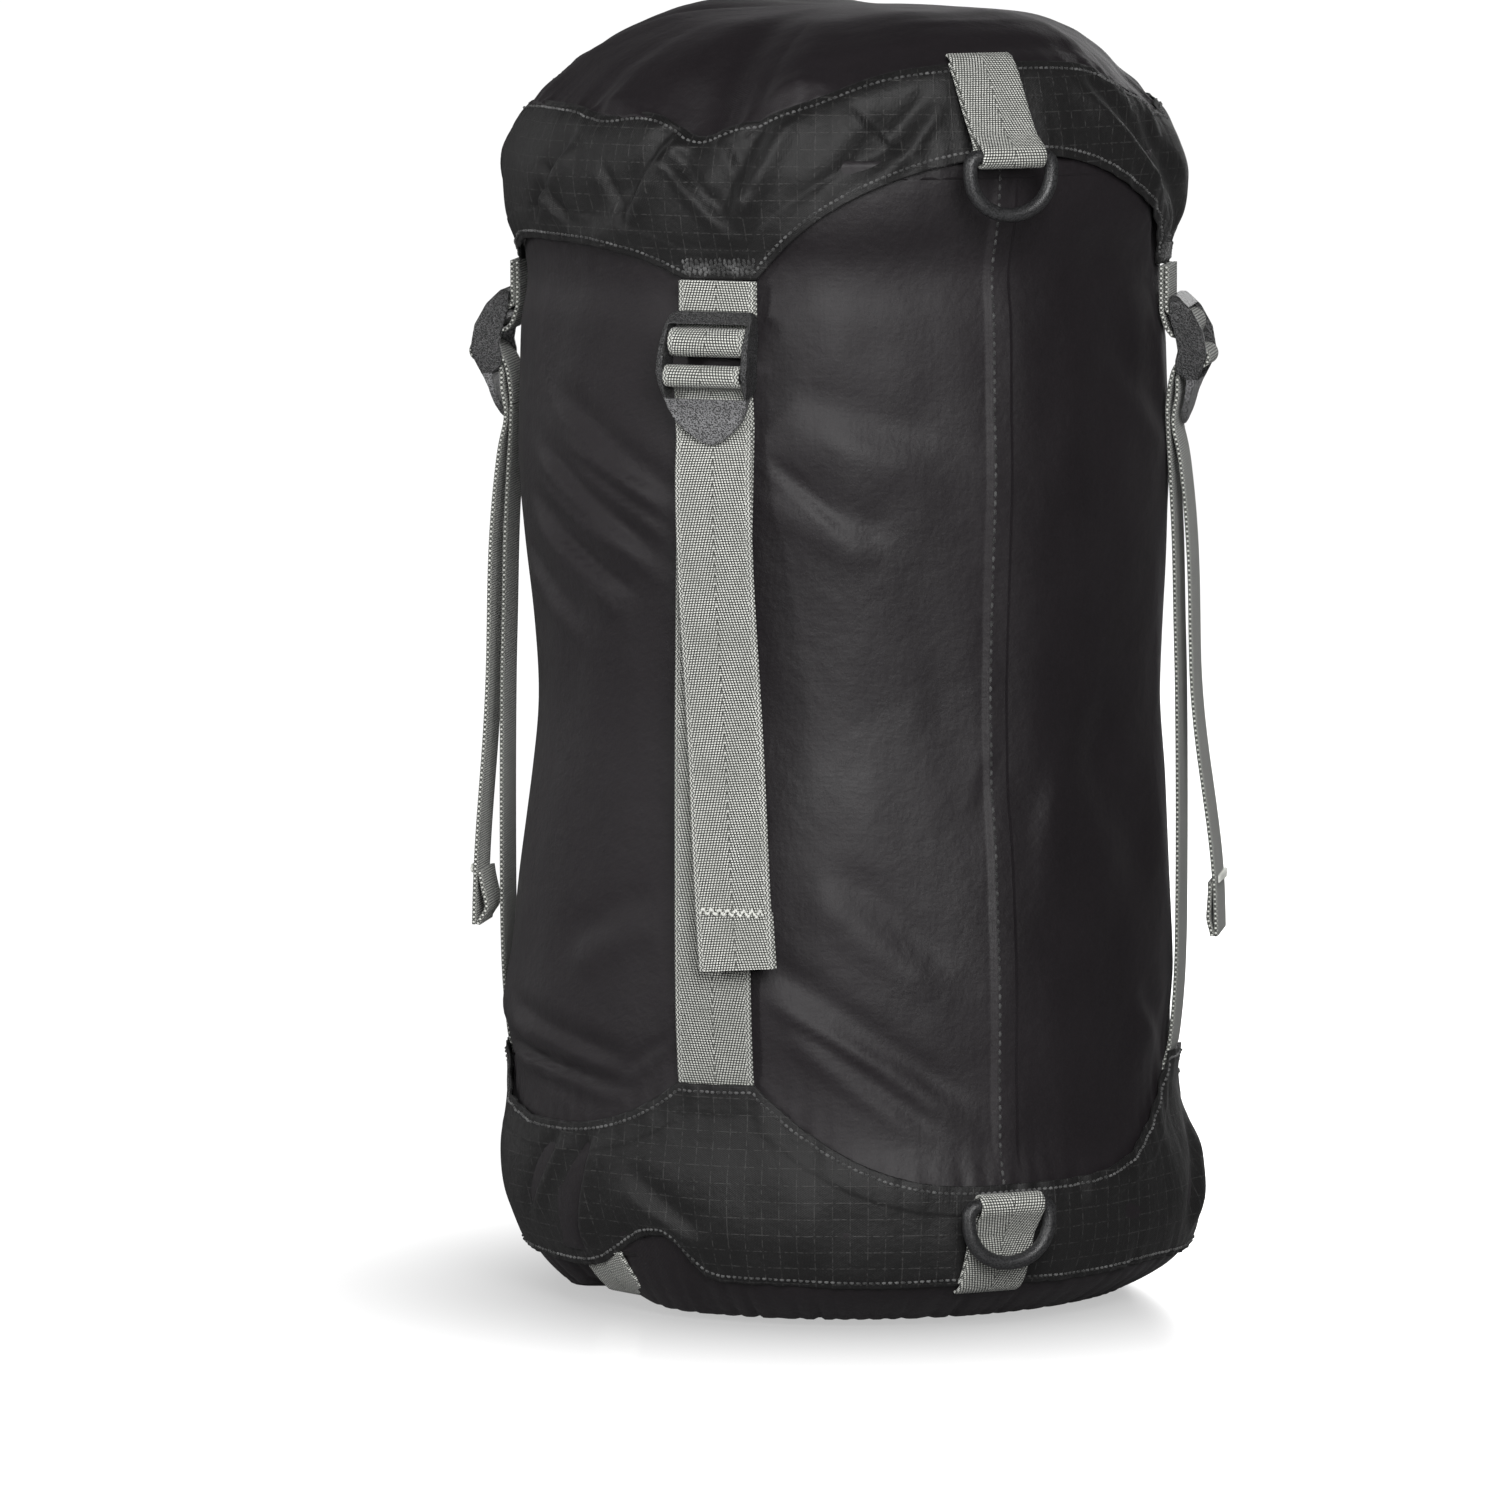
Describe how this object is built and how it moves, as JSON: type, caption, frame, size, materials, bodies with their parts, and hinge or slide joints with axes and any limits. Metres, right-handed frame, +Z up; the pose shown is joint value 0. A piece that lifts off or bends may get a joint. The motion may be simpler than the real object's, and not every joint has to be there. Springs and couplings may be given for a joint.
{
  "type": "compression sack",
  "caption": "Tall cylindrical stuff sack with a scalloped strap-down lid, ladder-lock compression straps, D-rings and a base grab handle.",
  "frame": {"origin": "centre of the base, on the surface the sack stands on", "axes": "+Z up the sack; -Y towards the side with the D-rings and the vertical seam; +X to the right of that side"},
  "size_m": [0.2454, 0.2616, 0.45],
  "materials": {
    "smooth_nylon": "smooth calendered dark charcoal nylon with a soft sheen",
    "ripstop_nylon": "matte black ripstop nylon with a fine grid of thicker threads",
    "grey_webbing": "woven grey-sage polyester webbing",
    "moulded_plastic": "moulded black acetal with a fine grain",
    "drawcord": "black braided cord",
    "metal": "plated steel"
  },
  "bodies": {
    "root": {"bottom_panel": "smooth_nylon", "base_band": "ripstop_nylon", "sack_wall": "smooth_nylon", "base_handle": "grey_webbing", "lower_ring_tab": "grey_webbing", "load_strap_front_left": "grey_webbing", "load_strap_front_right": "grey_webbing", "load_strap_rear_right": "grey_webbing", "load_strap_rear_left": "grey_webbing"},
    "mouth": {"mouth_collar": "smooth_nylon", "drawcord_channel": "smooth_nylon", "drawcord": "drawcord", "drawcord_eyelet": "metal", "cord_lock_barrel": "moulded_plastic", "cord_lock_spring": "metal"},
    "plunger": {"cord_lock_plunger": "moulded_plastic"},
    "lid": {"lid_crown": "smooth_nylon", "lid_band": "ripstop_nylon", "upper_ring_tab": "grey_webbing", "strap_tail_front_left": "grey_webbing", "strap_tail_front_right": "grey_webbing", "strap_tail_rear_right": "grey_webbing", "strap_tail_rear_left": "grey_webbing"},
    "upper_ring": {"upper_d_ring": "moulded_plastic"},
    "lower_ring": {"lower_d_ring": "moulded_plastic"},
    "buckle_front_left": {"ladder_lock_front_left": "moulded_plastic", "anchor_loop_front_left": "grey_webbing", "strap_wrap_front_left": "grey_webbing"},
    "buckle_front_right": {"ladder_lock_front_right": "moulded_plastic", "anchor_loop_front_right": "grey_webbing", "strap_wrap_front_right": "grey_webbing"},
    "buckle_rear_right": {"ladder_lock_rear_right": "moulded_plastic", "anchor_loop_rear_right": "grey_webbing", "strap_wrap_rear_right": "grey_webbing"},
    "buckle_rear_left": {"ladder_lock_rear_left": "moulded_plastic", "anchor_loop_rear_left": "grey_webbing", "strap_wrap_rear_left": "grey_webbing"}
  },
  "joints": [
    {"name": "compress", "type": "slide", "parent": "root", "child": "mouth", "axis": [0, 0, -1], "range_m": [0, 0.1], "deforming": ["sack_wall", "load_strap_front_left", "load_strap_front_right", "load_strap_rear_right", "load_strap_rear_left"]},
    {"name": "lid_lift", "type": "slide", "parent": "mouth", "child": "lid", "axis": [0, 0, 1], "range_m": [0, 0.12]},
    {"name": "cord_lock_press", "type": "slide", "parent": "mouth", "child": "plunger", "axis": [-1, 0, 0], "range_m": [0, 0.003], "stiffness_N_per_m": 300, "springref_m": -0.002, "deforming": ["cord_lock_spring"]},
    {"name": "upper_ring_swing", "type": "hinge", "parent": "lid", "child": "upper_ring", "pos_m": [-0.01168, -0.13349, 0.404], "axis": [0.9962, -0.0872, 0], "range_deg": [-110, 15]},
    {"name": "lower_ring_swing", "type": "hinge", "parent": "root", "child": "lower_ring", "pos_m": [-0.01168, -0.13349, 0.046], "axis": [0.9962, -0.0872, 0], "range_deg": [-150, 8]},
    {"name": "buckle_tilt_front_left", "type": "hinge", "parent": "lid", "child": "buckle_front_left", "pos_m": [-0.08944, -0.06988, 0.361], "axis": [-0.6157, 0.788, 0], "range_deg": [0, 40]},
    {"name": "buckle_tilt_front_right", "type": "hinge", "parent": "lid", "child": "buckle_front_right", "pos_m": [0.08944, -0.06988, 0.361], "axis": [-0.6157, -0.788, 0], "range_deg": [0, 40]},
    {"name": "buckle_tilt_rear_right", "type": "hinge", "parent": "lid", "child": "buckle_rear_right", "pos_m": [0.08944, 0.06988, 0.361], "axis": [0.6157, -0.788, 0], "range_deg": [0, 40]},
    {"name": "buckle_tilt_rear_left", "type": "hinge", "parent": "lid", "child": "buckle_rear_left", "pos_m": [-0.08944, 0.06988, 0.361], "axis": [0.6157, 0.788, 0], "range_deg": [0, 40]}
  ]
}
